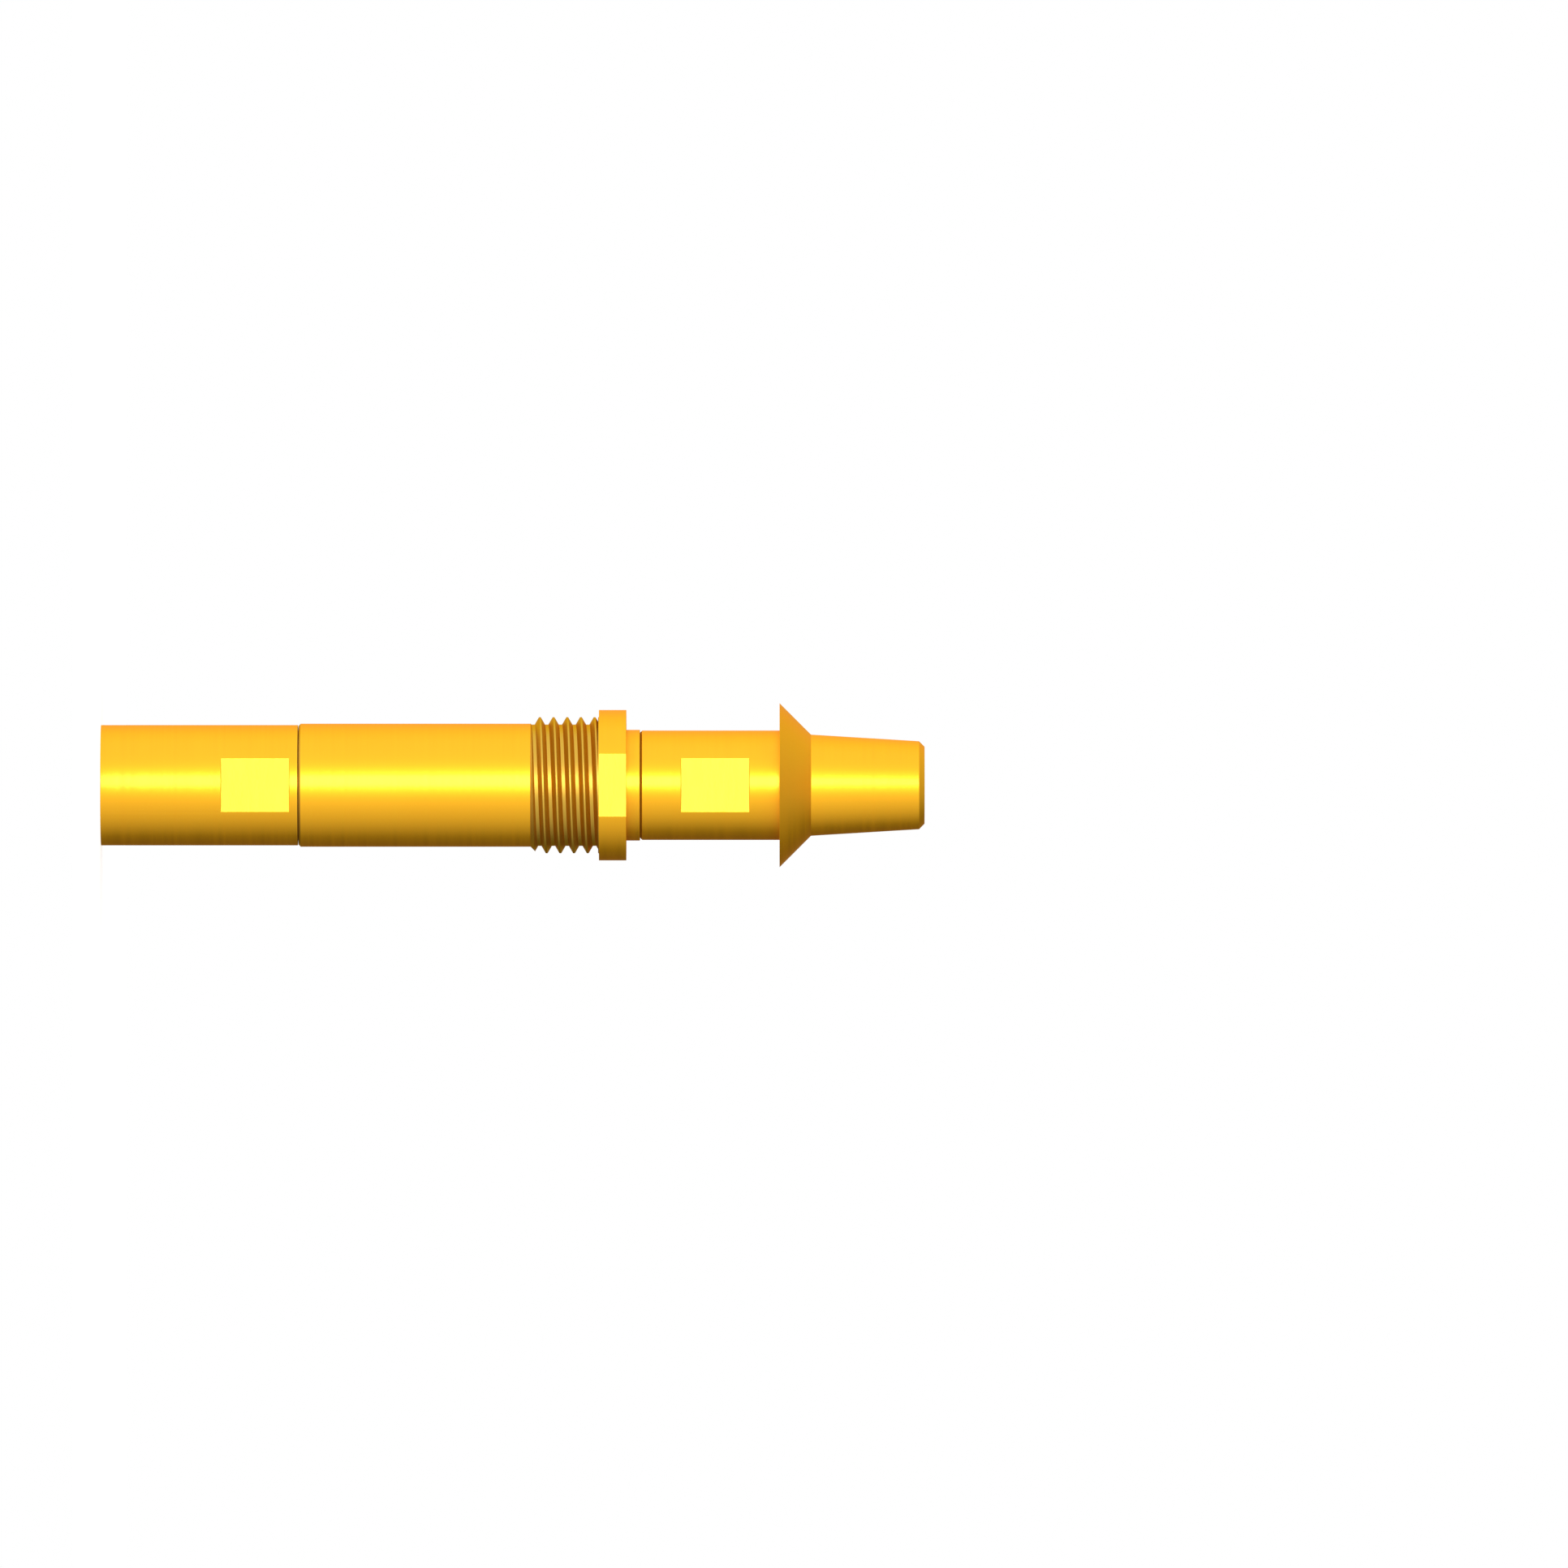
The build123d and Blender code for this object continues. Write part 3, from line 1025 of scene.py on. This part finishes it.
studio = {
    "frontLight": 1.12,  # from the camera's side
    "frontEnd": 0.42,  # how far behind the probe it fades out
    "topLight": 1.34,  # from the picture's top
    "topBlend": 0.5,  # half the width of the change from front to top light
    "noseSide": 0.43,  # share of the top light that is left beyond the nose
    "farSide": 0.8,  # and behind the probe
    "glossyWhite": 0.15,  # share of the white backdrop that the metal mirrors
    "lampAngle": 8,  # degrees from the camera towards the picture's top
    "lampDistance": 0.6,
    "lampSize": 0.24,
    "lampPower": 1.0,
    "floorHalf": 0.06,
    "floorGlow": 0.6,  # seen by the camera, not by the metal
    "floorColour": (0.8, 0.8, 0.8, 1.0),
}


def lightWorld():
    world = bpy.data.worlds.new("studio")
    bpy.context.scene.world = world
    tree = emptyTree(world)
    direction = node(tree, "ShaderNodeTexCoord").outputs["Generated"]
    x, y, z = node(tree, "ShaderNodeSeparateXYZ", {0: direction}).outputs
    front = node(tree, "ShaderNodeMapRange", {
        "Value": y, "From Min": studio["frontEnd"], "From Max": -1.0, "To Max": studio["frontLight"],
    })
    nose = node(tree, "ShaderNodeMapRange", {"Value": z, "To Min": 1.0, "To Max": studio["noseSide"]})
    far = node(tree, "ShaderNodeMapRange", {
        "Value": y, "To Min": studio["topLight"], "To Max": studio["topLight"] * studio["farSide"],
    })
    above = node(tree, "ShaderNodeMath", {0: nose.outputs[0], 1: far.outputs[0]}, operation="MULTIPLY")
    top = node(tree, "ShaderNodeMapRange", {
        "Value": x, "From Min": studio["topBlend"], "From Max": -studio["topBlend"],
    }, interpolation_type="SMOOTHSTEP")
    level = node(tree, "ShaderNodeMix", {0: top.outputs[0], 2: front.outputs[0], 3: above.outputs[0]})
    soft = node(tree, "ShaderNodeBackground", {"Color": (1, 1, 1, 1), "Strength": level.outputs[0]})
    white = node(tree, "ShaderNodeBackground", {"Color": (1, 1, 1, 1), "Strength": 1.0})
    rays = node(tree, "ShaderNodeLightPath").outputs
    clear = node(tree, "ShaderNodeMath", {
        0: rays["Is Camera Ray"], 1: rays["Is Transmission Ray"],
    }, operation="ADD")
    mirrored = node(tree, "ShaderNodeMath", {
        0: rays["Is Glossy Ray"], 1: studio["glossyWhite"], 2: clear.outputs[0],
    }, operation="MULTIPLY_ADD", use_clamp=True)
    mix = node(tree, "ShaderNodeMixShader", {
        0: mirrored.outputs[0], 1: soft.outputs[0], 2: white.outputs[0],
    })
    node(tree, "ShaderNodeOutputWorld", {"Surface": mix.outputs[0]})


def hangLamp():
    data = bpy.data.lights.new("softLamp", "AREA")
    data.shape = "DISK"
    data.size = studio["lampSize"]
    data.energy = studio["lampPower"]
    lamp = addObject("softLamp", data)
    angle = math.radians(studio["lampAngle"])
    away = Vector((-math.sin(angle), -math.cos(angle), 0))
    middle = Vector((0, 0, view["level"] * mm))
    turned = away.to_track_quat("Z", "Y").to_matrix().to_4x4()
    lamp.matrix_world = Matrix.Translation(middle + away * studio["lampDistance"]) @ turned
    lamp.visible_camera = False


def layFloor():
    half = studio["floorHalf"]
    level = cadBounds[0][2]
    mesh = bpy.data.meshes.new("floor")
    corners = [(-half, -half, level), (half, -half, level), (half, half, level), (-half, half, level)]
    mesh.from_pydata(corners, [], [(0, 1, 2, 3)])
    floor = addObject("floor", mesh)
    material = bpy.data.materials.new("paleFloor")
    tree = emptyTree(material)
    matt = node(tree, "ShaderNodeBsdfDiffuse", {"Color": studio["floorColour"]})
    rays = node(tree, "ShaderNodeLightPath").outputs
    seen = node(tree, "ShaderNodeMath", {
        0: rays["Is Camera Ray"], 1: rays["Is Transmission Ray"],
    }, operation="ADD")
    glow = node(tree, "ShaderNodeMath", {
        0: seen.outputs[0], 1: studio["floorGlow"],
    }, operation="MULTIPLY")
    light = node(tree, "ShaderNodeEmission", {"Strength": glow.outputs[0]})
    both = node(tree, "ShaderNodeAddShader", {0: matt.outputs[0], 1: light.outputs[0]})
    # The metal mirrors the backdrop beyond the floor, so it looks the same along its whole length
    beyond = node(tree, "ShaderNodeBsdfTransparent")
    mix = node(tree, "ShaderNodeMixShader", {
        0: rays["Is Glossy Ray"], 1: both.outputs[0], 2: beyond.outputs[0],
    })
    node(tree, "ShaderNodeOutputMaterial", {"Surface": mix.outputs[0]})
    mesh.materials.append(material)


lightWorld()
hangLamp()
layFloor()
bpy.context.scene.view_settings.view_transform = "Standard"
print("studio ready")
